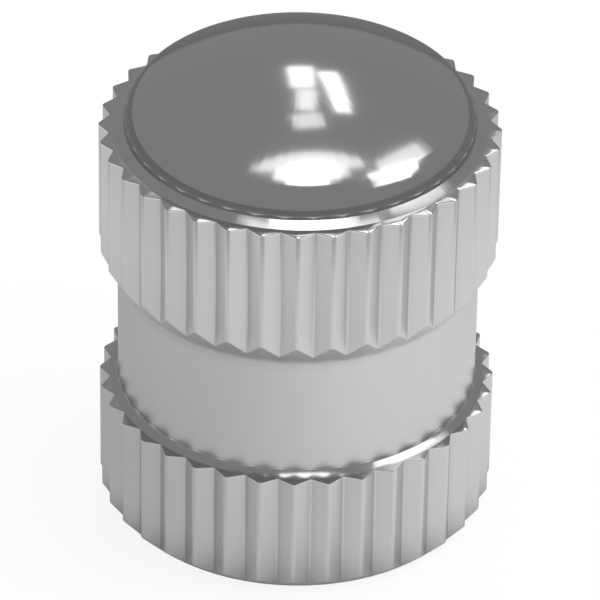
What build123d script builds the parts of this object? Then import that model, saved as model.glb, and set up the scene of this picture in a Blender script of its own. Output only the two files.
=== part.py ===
"""Domed tyre valve cap: a knurled, plated brass cap with a rubber seal washer in its threaded bore.

The axis is Z, and the cap stands on its open mouth at Z = 0 with the dome up. Lengths are in millimetres.
"""

from build123d import *
import math
import os

# Threaded bore, which fits over a standard valve stem
thread_radius = 3.88  # major radius of the cap thread, with room for a 7.7 mm stem
thread_length = 7.9  # from the mouth to the seal's groove
mouth_chamfer = 0.25  # lead-in at the mouth

# Outside, counted outwards from the bore
neck_wall = 0.66  # wall of the plain neck round the thread
band_step = 0.46  # how far both knurled bands stand out from the neck
dome_inset = 0.6  # how far the dome's foot lies inside the ridges

# Heights, counted upwards from the mouth
collar_height = 3.37  # lower knurled band, to the square ends of its ridges
neck_height = 3.33  # plain neck, from there to the upper band's taper
band_taper_rise = 0.75  # slope from the neck out to the ridges of the upper band
band_height = 3.27  # upper knurled band, from there to the square ends of its ridges

# Dome, chamfer and sloped rings
dome_crown_radius = 8.0
dome_shoulder_radius = 0.86  # its arc stands upright at the dome's foot
foot_chamfer = 0.33  # round the foot of the collar, at 45 degrees
ring_slope = 28.0  # of the rings that the neck and the dome stand on, in degrees
neck_ring_width = 0.21
dome_ring_width = 0.25

# Straight knurl
ridge_count = 36
flute_angle = 119.0  # between the two sides of a flute, in degrees
ridge_crown_radius = 0.12
turning_overrun = 0.02  # the turned outline passes the ridges by this, so the knurl alone sets the outside

# Seal washer, its groove and the drilled pocket behind it
seal_thickness = 1.5
seal_hole_radius = 1.6
seal_side_clearance = 0.05
seal_end_clearance = 0.05
seal_groove_depth = 0.17  # from the thread's major radius
pocket_wall = 0.58  # thread's major radius less the drill's radius
pocket_depth = 0.4  # straight part of the pocket
drill_point_angle = 118.0

# Radii and levels that follow from the sizes above
neck_radius = thread_radius + neck_wall
crest_radius = neck_radius + band_step
dome_foot_radius = crest_radius - dome_inset
taper_z = collar_height + neck_height
band_low_z = taper_z + band_taper_rise
band_top_z = band_low_z + band_height
ring_fall = math.tan(math.radians(ring_slope))
neck_foot_z = collar_height + neck_ring_width * ring_fall
dome_foot_z = band_top_z + dome_ring_width * ring_fall
shoulder_middle_radius = dome_foot_radius - dome_shoulder_radius
crown_to_shoulder = dome_crown_radius - dome_shoulder_radius  # between the middles of the two arcs
crown_middle_z = dome_foot_z - math.sqrt(crown_to_shoulder**2 - shoulder_middle_radius**2)
cap_height = crown_middle_z + dome_crown_radius
seal_groove_radius = thread_radius + seal_groove_depth
seal_seat_z = thread_length + seal_thickness + seal_end_clearance
pocket_radius = thread_radius - pocket_wall


def knurled_bar():
    """The knurled bar: a ring of rounded ridges and V-shaped flutes, as tall as the cap."""
    half_pitch = math.pi / ridge_count
    root_half_angle = math.radians(flute_angle / 2)
    crest_half_angle = root_half_angle - half_pitch
    # The sharp zigzag whose corners, once rounded, reach out to the crest radius
    sharp_crest = crest_radius + ridge_crown_radius * (1 / math.sin(crest_half_angle) - 1)
    sharp_root = sharp_crest * (math.cos(half_pitch) - math.sin(half_pitch) / math.tan(root_half_angle))
    corners = []
    for k in range(ridge_count):
        # A ridge faces -Y
        turn = 2 * k * half_pitch - math.pi / 2
        corners.append((sharp_crest * math.cos(turn), sharp_crest * math.sin(turn)))
        corners.append((sharp_root * math.cos(turn + half_pitch), sharp_root * math.sin(turn + half_pitch)))
    rounding = [ridge_crown_radius, 0] * ridge_count
    section = make_face(FilletPolyline(*corners, radius=rounding, close=True))
    return extrude(section, amount=cap_height)


def turned_blank():
    """What turning leaves inside the knurled outside: foot, collar, neck, upper band and dome."""
    blank_radius = crest_radius + turning_overrun
    taper_edge_z = band_low_z + turning_overrun * band_taper_rise / band_step
    crown_lean = math.asin(shoulder_middle_radius / crown_to_shoulder)
    crown_edge = (
        dome_crown_radius * math.sin(crown_lean),
        crown_middle_z + dome_crown_radius * math.cos(crown_lean),
    )
    outline = [
        Polyline(
            (0, 0),
            (crest_radius - foot_chamfer, 0),
            (blank_radius, foot_chamfer + turning_overrun),
            (blank_radius, collar_height),
            (neck_radius + neck_ring_width, collar_height),
            (neck_radius, neck_foot_z),
            (neck_radius, taper_z),
            (blank_radius, taper_edge_z),
            (blank_radius, band_top_z),
            (dome_foot_radius + dome_ring_width, band_top_z),
            (dome_foot_radius, dome_foot_z),
        ),
        RadiusArc((dome_foot_radius, dome_foot_z), crown_edge, -dome_shoulder_radius),
        RadiusArc(crown_edge, (0, cap_height), -dome_crown_radius),
        Line((0, cap_height), (0, 0)),
    ]
    half_section = make_face(Plane.XZ * Curve(outline))
    return revolve(half_section, Axis.Z)


def bore():
    """All that is cut from the mouth: lead-in, thread bore, seal groove and pocket."""
    drill_point = pocket_radius / math.tan(math.radians(drill_point_angle / 2))
    half_section = Polyline(
        (0, -mouth_chamfer),
        (thread_radius + 2 * mouth_chamfer, -mouth_chamfer),
        (thread_radius, mouth_chamfer),
        (thread_radius, thread_length),
        (seal_groove_radius, thread_length),
        (seal_groove_radius, seal_seat_z),
        (pocket_radius, seal_seat_z),
        (pocket_radius, seal_seat_z + pocket_depth),
        (0, seal_seat_z + pocket_depth + drill_point),
        close=True,
    )
    return revolve(make_face(Plane.XZ * half_section), Axis.Z)


def cap_shell():
    """The one-piece brass cap."""
    return knurled_bar() & turned_blank() - bore()


def seal_washer():
    """The rubber washer, pushed up against its seat in the groove."""
    ring = Circle(seal_groove_radius - seal_side_clearance) - Circle(seal_hole_radius)
    return Pos(0, 0, seal_seat_z) * extrude(ring, amount=-seal_thickness)


os.makedirs("parts", exist_ok=True)
export_step(cap_shell(), "parts/cap_shell.step")
export_step(seal_washer(), "parts/seal_washer.step")
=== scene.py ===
import math

import bpy
from mathutils import Matrix, Vector


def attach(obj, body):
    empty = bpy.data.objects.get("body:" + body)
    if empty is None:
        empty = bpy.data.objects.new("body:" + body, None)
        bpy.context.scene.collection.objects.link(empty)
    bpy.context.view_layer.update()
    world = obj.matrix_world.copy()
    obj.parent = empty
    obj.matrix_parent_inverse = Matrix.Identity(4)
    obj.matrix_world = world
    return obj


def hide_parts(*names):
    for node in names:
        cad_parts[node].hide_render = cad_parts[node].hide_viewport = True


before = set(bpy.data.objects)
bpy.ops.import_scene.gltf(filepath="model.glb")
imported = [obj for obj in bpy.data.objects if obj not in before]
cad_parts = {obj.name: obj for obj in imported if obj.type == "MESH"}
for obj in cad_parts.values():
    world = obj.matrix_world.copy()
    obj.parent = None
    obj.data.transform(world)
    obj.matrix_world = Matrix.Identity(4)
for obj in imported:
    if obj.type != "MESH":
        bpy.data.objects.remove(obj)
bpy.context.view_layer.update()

# The cap is one piece of brass, turned from a bar that was straight-knurled first, so the neck, the foot and
# the dome are cut through the ridges. It is plated with nickel and chrome: the dome, the ends of the ridges
# and the sloped rings inside them are cut bright, and the sides are satin.
mm = 0.001
ridge_count = 36
crest_radius = 5.0 * mm
crown_radius, root_round = 0.12 * mm, 0.07 * mm
flute_half_angle = math.radians(59.5)
neck_radius, dome_radius = 4.54 * mm, 4.40 * mm
dome_crown, shoulder_radius = 8.0 * mm, 0.86 * mm
foot_chamfer = 0.33 * mm
neck_ring, dome_ring, ring_fall = 0.21 * mm, 0.25 * mm, math.tan(math.radians(28))
collar_z, taper_z, band_low_z, band_top_z = 3.37 * mm, 6.70 * mm, 7.45 * mm, 10.72 * mm
dome_foot_z = band_top_z + dome_ring * ring_fall
crown_to_shoulder, shoulder_middle = dome_crown - shoulder_radius, dome_radius - shoulder_radius
dome_top_z = dome_foot_z + dome_crown - math.sqrt(crown_to_shoulder**2 - shoulder_middle**2)
bore_radius, bore_end_z, lead_in = 3.88 * mm, 7.90 * mm, 0.25 * mm
groove_radius, seat_z = 4.05 * mm, 9.45 * mm
pocket_radius, pocket_end_z, drill_point_z = 3.30 * mm, 9.85 * mm, 11.833 * mm
half_pitch = math.pi / ridge_count

# Roundings of the edges
ridge_end_edge, ring_edge, mouth_edge = 0.012 * mm, 0.04 * mm, 0.04 * mm
taper_edge, taper_corner = 0.12 * mm, 1.0 * mm
chamfer_edge, foot_edge = 0.08 * mm, 0.06 * mm
sharp = 0


def ridge_section():
    """Half of a ridge, from its crown to the flute's root, as pairs of turn round the axis and radius."""
    crown_steps, root_steps = 4, 2
    crown_half_angle = flute_half_angle - half_pitch
    crown_middle = crest_radius - crown_radius
    sharp_crest = crown_middle + crown_radius / math.sin(crown_half_angle)
    sharp_root = sharp_crest * (math.cos(half_pitch) - math.sin(half_pitch) / math.tan(flute_half_angle))
    root_middle = sharp_root + root_round / math.sin(flute_half_angle)
    section = []
    for step in range(crown_steps + 1):
        lean = step / crown_steps * (math.pi / 2 - crown_half_angle)
        across, out = crown_radius * math.sin(lean), crown_middle + crown_radius * math.cos(lean)
        section.append((math.atan2(across, out), math.hypot(across, out)))
    for step in range(root_steps + 1):
        lean = (1 - step / root_steps) * (math.pi / 2 - flute_half_angle)
        across, out = root_round * math.sin(lean), root_middle - root_round * math.cos(lean)
        section.append((half_pitch - math.atan2(across, out), math.hypot(across, out)))
    return section


def rounded(corners):
    """Points along a line of corners (radius, height, rounding), each rounding as five points of an arc."""
    arc_steps = 4
    longest_cut = 0.45  # of the side that a rounding cuts into
    line = []
    for before, (*corner, rounding), after in zip(corners, corners[1:], corners[2:]):
        corner = Vector(corner)
        back, ahead = Vector(before[:2]) - corner, Vector(after[:2]) - corner
        if not rounding:
            line.append(corner)
            continue
        turn = math.pi - back.angle(ahead)
        cut = min(rounding * math.tan(turn / 2), longest_cut * back.length, longest_cut * ahead.length)
        start, end = corner + back.normalized() * cut, corner + ahead.normalized() * cut
        for step in range(arc_steps + 1):
            t = step / arc_steps
            early, late = (1 - t) ** 2, t**2
            middle = 2 * t * (1 - t) * math.cos(turn / 2)
            line.append((early * start + middle * corner + late * end) / (early + middle + late))
    return line


def skin_line(reach):
    """Points along the skin where the knurl reaches out this far: down the outside, then up the bore."""
    crown_steps, shoulder_steps = 32, 16
    short = crest_radius - reach
    taper_end_z = band_low_z - short * (band_low_z - taper_z) / (crest_radius - neck_radius)
    crown_lean = math.asin(shoulder_middle / crown_to_shoulder)
    line = []
    for step in range(crown_steps + 1):
        lean = crown_lean * step / crown_steps
        line.append(Vector((dome_crown * math.sin(lean), dome_top_z - dome_crown * (1 - math.cos(lean)))))
    for step in range(1, shoulder_steps + 1):
        lean = crown_lean + (math.pi / 2 - crown_lean) * step / shoulder_steps
        out, up = shoulder_radius * math.sin(lean), shoulder_radius * math.cos(lean)
        line.append(Vector((shoulder_middle + out, dome_foot_z + up)))
    line += rounded(
        (
            (dome_radius, dome_foot_z),
            (dome_radius + dome_ring, band_top_z, ring_edge),
            (reach, band_top_z, ridge_end_edge),
            (reach, taper_end_z, taper_edge),
            (neck_radius, taper_z, taper_corner),
            (neck_radius, collar_z + neck_ring * ring_fall, ring_edge),
            (neck_radius + neck_ring, collar_z, ring_edge),
            (reach, collar_z, ridge_end_edge),
            (reach, foot_chamfer - short, chamfer_edge),
            (crest_radius - foot_chamfer, 0, foot_edge),
            (bore_radius + lead_in, 0, mouth_edge),
            (bore_radius, lead_in, mouth_edge),
            (bore_radius, bore_end_z, sharp),
            (groove_radius, bore_end_z, sharp),
            (groove_radius, seat_z, sharp),
            (pocket_radius, seat_z, sharp),
            (pocket_radius, pocket_end_z, sharp),
            (0, drill_point_z, sharp),
            (0, dome_top_z),
        )
    )
    return line


half_ridge = ridge_section()
ridge = [(-turn, reach) for turn, reach in reversed(half_ridge[1:])] + half_ridge
ridge_lines = [skin_line(reach) for turn, reach in ridge]

# One ridge's strip of the skin, from the top of the dome to the end of the bore
rows = len(ridge_lines[0])
bpy.ops.object.select_all(action="DESELECT")
bpy.ops.mesh.primitive_grid_add(x_subdivisions=len(ridge) - 1, y_subdivisions=rows - 1, size=crest_radius)
cap = bpy.context.object
cap.name = "cap_skin"
for index, vertex in enumerate(cap.data.vertices):
    row, column = divmod(index, len(ridge))
    radius, height = ridge_lines[column][row]
    turn = ridge[column][0]
    vertex.co = (radius * math.sin(turn), -radius * math.cos(turn), height)

# The strip is copied round the axis, and the copies are sewn together
bpy.ops.object.mode_set(mode="EDIT")
bpy.ops.mesh.select_all(action="SELECT")
bpy.ops.mesh.spin(
    steps=ridge_count - 1,
    dupli=True,
    angle=2 * math.pi - 2 * half_pitch,
    center=(0, 0, 0),
    axis=(0, 0, 1),
)
bpy.ops.mesh.select_all(action="SELECT")
bpy.ops.mesh.remove_doubles(threshold=0.0002 * mm)
bpy.ops.mesh.normals_make_consistent(inside=False)
bpy.ops.object.mode_set(mode="OBJECT")
bpy.ops.object.shade_smooth_by_angle(angle=math.radians(32))

# The flat and turned faces stay true right up to their rounded edges
cap.modifiers.new("true_faces", "WEIGHTED_NORMAL").keep_sharp = True
bpy.ops.object.modifier_apply(modifier="true_faces")

# The thread's turns stand inwards from the bore: 32 to the inch, right-hand
thread_pitch = 25.4 / 32 * mm
thread_turns, steps_per_turn = 8.6, 48
thread_start_z = 0.62 * mm
thread_crest_radius, thread_foot_radius = 3.46 * mm, bore_radius + 0.02 * mm
flat_crest, broad_foot = 0.05 * mm, 0.30 * mm
bpy.ops.object.select_all(action="DESELECT")
bpy.ops.mesh.primitive_plane_add(size=crest_radius)
thread = bpy.context.object
section = (
    (thread_foot_radius, -broad_foot),
    (thread_crest_radius, -flat_crest),
    (thread_foot_radius, broad_foot),
    (thread_crest_radius, flat_crest),
)
for vertex, (radius, height) in zip(thread.data.vertices, section):
    vertex.co = (radius, 0, thread_start_z + height)
bpy.ops.object.mode_set(mode="EDIT")
bpy.ops.mesh.select_all(action="SELECT")
bpy.ops.mesh.delete(type="ONLY_FACE")
bpy.ops.object.mode_set(mode="OBJECT")
winding = thread.modifiers.new("winding", "SCREW")
winding.axis = "Z"
winding.angle = 2 * math.pi * thread_turns
winding.screw_offset = thread_pitch * thread_turns
winding.steps = winding.render_steps = int(steps_per_turn * thread_turns)
winding.use_smooth_shade = False
bpy.ops.object.modifier_apply(modifier="winding")

# Both ends of the turns are closed
bpy.ops.object.mode_set(mode="EDIT")
bpy.ops.mesh.select_all(action="SELECT")
bpy.ops.mesh.fill_holes(sides=4)
bpy.ops.mesh.select_all(action="SELECT")
bpy.ops.mesh.normals_make_consistent(inside=False)
bpy.ops.object.mode_set(mode="OBJECT")
bpy.ops.object.shade_smooth_by_angle(angle=math.radians(30))

bpy.ops.object.select_all(action="DESELECT")
thread.select_set(True)
cap.select_set(True)
bpy.context.view_layer.objects.active = cap
bpy.ops.object.join()


class Wire:
    """A socket that gives a value. Arithmetic on it adds Math nodes."""

    def __init__(self, socket):
        self.socket = socket

    @staticmethod
    def node(tree, kind, settings=None, sockets=None, output=0):
        """A new node with its settings, then its sockets' values or links. Gives one of its outputs."""
        made = tree.nodes.new(kind)
        for name, value in (settings or {}).items():
            setattr(made, name, value)
        for name, value in (sockets or {}).items():
            if isinstance(value, Wire):
                tree.links.new(value.socket, made.inputs[name])
            else:
                made.inputs[name].default_value = value
        return Wire(made.outputs[output]) if made.outputs else None

    def math(self, operation, first, second):
        """A Math node in the tree of this socket."""
        tree = self.socket.id_data
        return Wire.node(tree, "ShaderNodeMath", {"operation": operation}, {0: first, 1: second})

    def __add__(self, other):
        return self.math("ADD", self, other)

    def __radd__(self, other):
        return self.math("ADD", other, self)

    def __sub__(self, other):
        return self.math("SUBTRACT", self, other)

    def __rsub__(self, other):
        return self.math("SUBTRACT", other, self)

    def __mul__(self, other):
        return self.math("MULTIPLY", self, other)

    def __rmul__(self, other):
        return self.math("MULTIPLY", other, self)

    def __pow__(self, other):
        return self.math("POWER", self, other)

    def between(self, low, high):
        """0 at low and 1 at high, with a soft ramp between them."""
        return Wire.node(
            self.socket.id_data,
            "ShaderNodeMapRange",
            {"interpolation_type": "SMOOTHSTEP"},
            {"Value": self, "From Min": low, "From Max": high},
        )


def new_material(name):
    """An empty material and its node tree."""
    material = bpy.data.materials.new(name)
    material.use_nodes = True
    material.node_tree.nodes.clear()
    return material, material.node_tree


plating, tree = new_material("bright_plating")
plate_grey, black = (0.63, 0.63, 0.63, 1.0), (0.0, 0.0, 0.0, 1.0)
place = Wire.node(tree, "ShaderNodeTexCoord", output="Object")
along = {axis: Wire.node(tree, "ShaderNodeSeparateXYZ", None, {"Vector": place}, axis) for axis in "XYZ"}
reach = (along["X"] ** 2 + along["Y"] ** 2) ** 0.5
height = along["Z"]
on_dome = height.between(band_top_z - 0.05 * mm, band_top_z - 0.03 * mm)
on_ledge = height.between(collar_z - 0.05 * mm, collar_z - 0.03 * mm)
on_ledge = on_ledge * height.between(collar_z + 0.15 * mm, collar_z + 0.13 * mm)
on_ledge = on_ledge * reach.between(neck_radius - 0.04 * mm, neck_radius - 0.03 * mm)
cut_bright = on_dome + (1 - on_dome) * on_ledge
on_neck = reach.between(neck_radius + 0.10 * mm, neck_radius + 0.02 * mm)
on_neck = on_neck * reach.between(neck_radius - 0.14 * mm, neck_radius - 0.06 * mm)
in_flute = reach.between(crest_radius - 0.14 * mm, crest_radius - 0.23 * mm) * (1 - on_dome) * (1 - on_neck)
noise, one_way = "ShaderNodeTexNoise", {"noise_dimensions": "1D"}
smears = Wire.node(tree, noise, None, {"Vector": place, "Scale": 260.0, "Detail": 4.0, "Roughness": 0.6})
grain = Wire.node(tree, noise, None, {"Vector": place, "Scale": 9000.0, "Detail": 3.0})
turning = Wire.node(tree, noise, one_way, {"W": height, "Scale": 16000.0, "Detail": 2.0})
rings = Wire.node(tree, noise, one_way, {"W": reach, "Scale": 9000.0, "Detail": 2.0})
# The colour is a little darker towards the flute roots and where the smears lie.
shade = 1 - 0.04 * in_flute - 0.05 * smears
tint = Wire.node(
    tree,
    "ShaderNodeMix",
    {"data_type": "RGBA"},
    {"Factor": shade, "A": black, "B": plate_grey},
    "Result",
)
satin = 0.30 + 0.06 * grain
polish = 0.09 + 0.05 * smears
roughness = satin + (polish - satin) * cut_bright
relief = on_dome * rings * 0.06 + (1 - on_dome) * (0.35 * grain + on_neck * turning)
bump = Wire.node(tree, "ShaderNodeBump", None, {"Strength": 0.5, "Distance": 0.0015 * mm, "Height": relief})
skin = Wire.node(
    tree,
    "ShaderNodeBsdfPrincipled",
    None,
    {"Base Color": tint, "Metallic": 1.0, "Roughness": roughness, "Normal": bump},
)
Wire.node(tree, "ShaderNodeOutputMaterial", None, {"Surface": skin})
cap.data.materials.append(plating)
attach(cap, "root")
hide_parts("cap_shell")

# The seal is a washer stamped from black rubber sheet, pushed into its groove at the end of the thread. Its
# face carries the ring that the valve stem's mouth presses into it.
seal_bottom_z, seal_top_z = 7.95 * mm, 9.45 * mm
seal_hole, seal_radius = 1.6 * mm, 4.0 * mm
seal_sides = 96
soft_edge = 0.08 * mm
pressed_inner, pressed_outer = 2.45 * mm, 3.20 * mm
pressed_slope, pressed_z = 0.15 * mm, seal_bottom_z + 0.07 * mm
seal_rings = (
    (seal_hole + soft_edge, seal_bottom_z),
    (pressed_inner, seal_bottom_z),
    (pressed_inner + pressed_slope, pressed_z),
    (pressed_outer - pressed_slope, pressed_z),
    (pressed_outer, seal_bottom_z),
    (seal_radius - soft_edge, seal_bottom_z),
    (seal_radius, seal_bottom_z + soft_edge),
    (seal_radius, seal_top_z - soft_edge),
    (seal_radius - soft_edge, seal_top_z),
    (seal_hole + soft_edge, seal_top_z),
    (seal_hole, seal_top_z - soft_edge),
    (seal_hole, seal_bottom_z + soft_edge),
)
bpy.ops.object.select_all(action="DESELECT")
bpy.ops.mesh.primitive_circle_add(vertices=seal_sides, radius=seal_hole, location=(0, 0, 0))
seal = bpy.context.object
seal.name = "seal_ring"
bpy.ops.object.mode_set(mode="EDIT")
bpy.ops.mesh.select_all(action="SELECT")
radius_now, z_now = seal_hole, seal_bottom_z + soft_edge
bpy.ops.transform.translate(value=(0, 0, z_now))
for radius, z in seal_rings:
    bpy.ops.mesh.extrude_edges_move(TRANSFORM_OT_translate={"value": (0, 0, z - z_now)})
    scale = radius / radius_now
    bpy.ops.transform.resize(value=(scale, scale, 1), center_override=(0, 0, z))
    radius_now, z_now = radius, z
bpy.ops.mesh.select_all(action="SELECT")
bpy.ops.mesh.remove_doubles(threshold=0.001 * mm)
bpy.ops.mesh.normals_make_consistent(inside=False)
bpy.ops.object.mode_set(mode="OBJECT")
bpy.ops.object.shade_smooth_by_angle(angle=math.radians(50))

rubber, tree = new_material("seal_rubber")
rubber_black, dust_grey = (0.018, 0.018, 0.019, 1.0), (0.045, 0.044, 0.043, 1.0)
place = Wire.node(tree, "ShaderNodeTexCoord", output="Object")
dust = Wire.node(tree, noise, None, {"Vector": place, "Scale": 900.0, "Detail": 5.0})
pores = Wire.node(tree, noise, None, {"Vector": place, "Scale": 8000.0, "Detail": 2.0})
tint = Wire.node(
    tree,
    "ShaderNodeMix",
    {"data_type": "RGBA"},
    {"Factor": dust, "A": rubber_black, "B": dust_grey},
    "Result",
)
bump = Wire.node(tree, "ShaderNodeBump", None, {"Strength": 0.6, "Distance": 0.01 * mm, "Height": pores})
skin = Wire.node(
    tree,
    "ShaderNodeBsdfPrincipled",
    None,
    {"Base Color": tint, "Roughness": 0.6 + 0.2 * dust, "Normal": bump},
)
Wire.node(tree, "ShaderNodeOutputMaterial", None, {"Surface": skin})
seal.data.materials.append(rubber)
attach(seal, "root")
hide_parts("seal_washer")

# The table is a plain sheet of white board that keeps the cap's soft shadow. In the plating it glows with
# painted light, brighter in front of the cap and to the right, and with a painted shadow close under it.
bpy.ops.object.select_all(action="DESELECT")
bpy.ops.mesh.primitive_plane_add(size=3.0)
table = bpy.context.object
table.name = "table"
board, tree = new_material("white_board")
white, board_grey = (1.0, 1.0, 1.0, 1.0), (0.28, 0.28, 0.28, 1.0)
place = Wire.node(tree, "ShaderNodeTexCoord", output="Object")
along = {axis: Wire.node(tree, "ShaderNodeSeparateXYZ", None, {"Vector": place}, axis) for axis in "XY"}
seen = Wire.node(tree, "ShaderNodeLightPath", output="Is Camera Ray")
mirrored = Wire.node(tree, "ShaderNodeLightPath", output="Is Glossy Ray")
away = (along["X"] ** 2 + along["Y"] ** 2) ** 0.5
# The glow that the plating mirrors is painted: a pool of light in front of the cap, lighter to the right,
# and a painted shadow within a few millimetres of its foot.
front = along["Y"].between(36 * mm, -4 * mm)
sideways = along["X"].between(-10 * mm, 10 * mm)
painted_light_and_shadow = front * away.between(36 * mm, 22 * mm) * away.between(3.8 * mm, 6.4 * mm)
farther = away.between(12 * mm, 17 * mm)
unlit, near_left, near_right, far_left, far_right = 0.06, 0.44, 0.82, 0.80, 0.93
near = near_left + (near_right - near_left) * sideways
far = far_left + (far_right - far_left) * sideways
painted_light_in_plating = unlit + painted_light_and_shadow * (near + farther * (far - near))
in_view = 0.86
glow = in_view * seen + mirrored * painted_light_in_plating
matte = Wire.node(tree, "ShaderNodeBsdfDiffuse", None, {"Color": board_grey})
light = Wire.node(tree, "ShaderNodeEmission", None, {"Color": white, "Strength": glow})
both = Wire.node(tree, "ShaderNodeAddShader", None, {0: matte, 1: light})
Wire.node(tree, "ShaderNodeOutputMaterial", None, {"Surface": both})
table.data.materials.append(board)

# The room is dim and grey, and white where the camera sees it. Soft lamps face the dome, which mirrors them:
# two strips behind, the wider one fading towards the front, a flat one overhead and a bent one on the right.
scene = bpy.context.scene
scene.view_settings.view_transform = "Standard"
room = bpy.data.worlds.new("room")
scene.world = room
room.use_nodes = True
tree = room.node_tree
tree.nodes.clear()
camera_ray = Wire.node(tree, "ShaderNodeLightPath", output="Is Camera Ray")
dim = 0.30
brightness = dim + (1 - dim) * camera_ray
walls = Wire.node(tree, "ShaderNodeBackground", None, {"Color": white, "Strength": brightness})
Wire.node(tree, "ShaderNodeOutputWorld", None, {"Surface": walls})

# A lamp's place is its direction from the top of the dome. Its width and length are shares of its distance.
lamp_distance = 0.5
lamps = (
    ("lamp_behind_wide", "RECTANGLE", (0.0, 1.1, 1), 0.10, 0.22, 5, 1.8),
    ("lamp_behind_fading", "RECTANGLE", (0.03, 0.7, 1), 0.09, 0.19, 0, 1.3),
    ("lamp_behind_small", "RECTANGLE", (0.04, 0.46, 1), 0.15, 0.12, 15, 1.0),
    ("lamp_behind_narrow", "RECTANGLE", (0.2, 0.88, 1), 0.08, 0.38, 20, 2.0),
    ("lamp_overhead", "ELLIPSE", (0.06, 0.03, 1), 0.42, 0.16, 10, 1.2),
    ("lamp_overhead_front", "ELLIPSE", (0.06, -0.07, 1), 0.26, 0.15, 5, 1.5),
    ("lamp_overhead_long", "ELLIPSE", (0.05, 0.12, 1), 0.64, 0.13, 8, 0.9),
    ("lamp_right", "RECTANGLE", (0.65, 0.33, 1), 0.15, 0.36, -30, 1.0),
    ("lamp_right_low", "RECTANGLE", (0.86, -0.06, 1), 0.40, 0.65, 30, 1.7),
)
for name, shape, place, width, length, turn, radiance in lamps:
    lamp = bpy.data.lights.new(name, "AREA")
    lamp.shape = shape
    lamp.size, lamp.size_y = width * lamp_distance, length * lamp_distance
    lamp.energy = radiance * math.pi * lamp.size * lamp.size_y
    hung = bpy.data.objects.new(name, lamp)
    outward = Vector(place).normalized()
    across = Vector((math.cos(math.radians(turn)), math.sin(math.radians(turn)), 0))
    across = (across - across.project(outward)).normalized()
    facing = Matrix((across, outward.cross(across), outward)).transposed().to_4x4()
    hung.matrix_world = Matrix.Translation(outward * lamp_distance + Vector((0, 0, dome_top_z))) @ facing
    scene.collection.objects.link(hung)

# The camera looks down on the cap's front through a long lens, from about fifteen centimetres away. It leans
# by a little less than a degree.
elevation, lean = math.radians(34.4), math.radians(-0.95)
distance, focal, sensor = 151.0 * mm, 359.0, 36.0
shift_right, shift_down = 0.06 * mm, 0.24 * mm
aim = Vector((0, 0, 5.80 * mm))
forward = Vector((0, math.cos(elevation), -math.sin(elevation)))
level, upright = Vector((1, 0, 0)), Vector((0, math.sin(elevation), math.cos(elevation)))
side = level * math.cos(lean) - upright * math.sin(lean)
top = level * math.sin(lean) + upright * math.cos(lean)
lens = bpy.data.cameras.new("camera")
lens.lens, lens.sensor_width = focal, sensor
lens.clip_start, lens.clip_end = 0.005, 20.0
camera = bpy.data.objects.new("camera", lens)
spot = aim - forward * distance + side * shift_right - top * shift_down
camera.matrix_world = Matrix.Translation(spot) @ Matrix((side, top, -forward)).transposed().to_4x4()
scene.collection.objects.link(camera)
scene.camera = camera
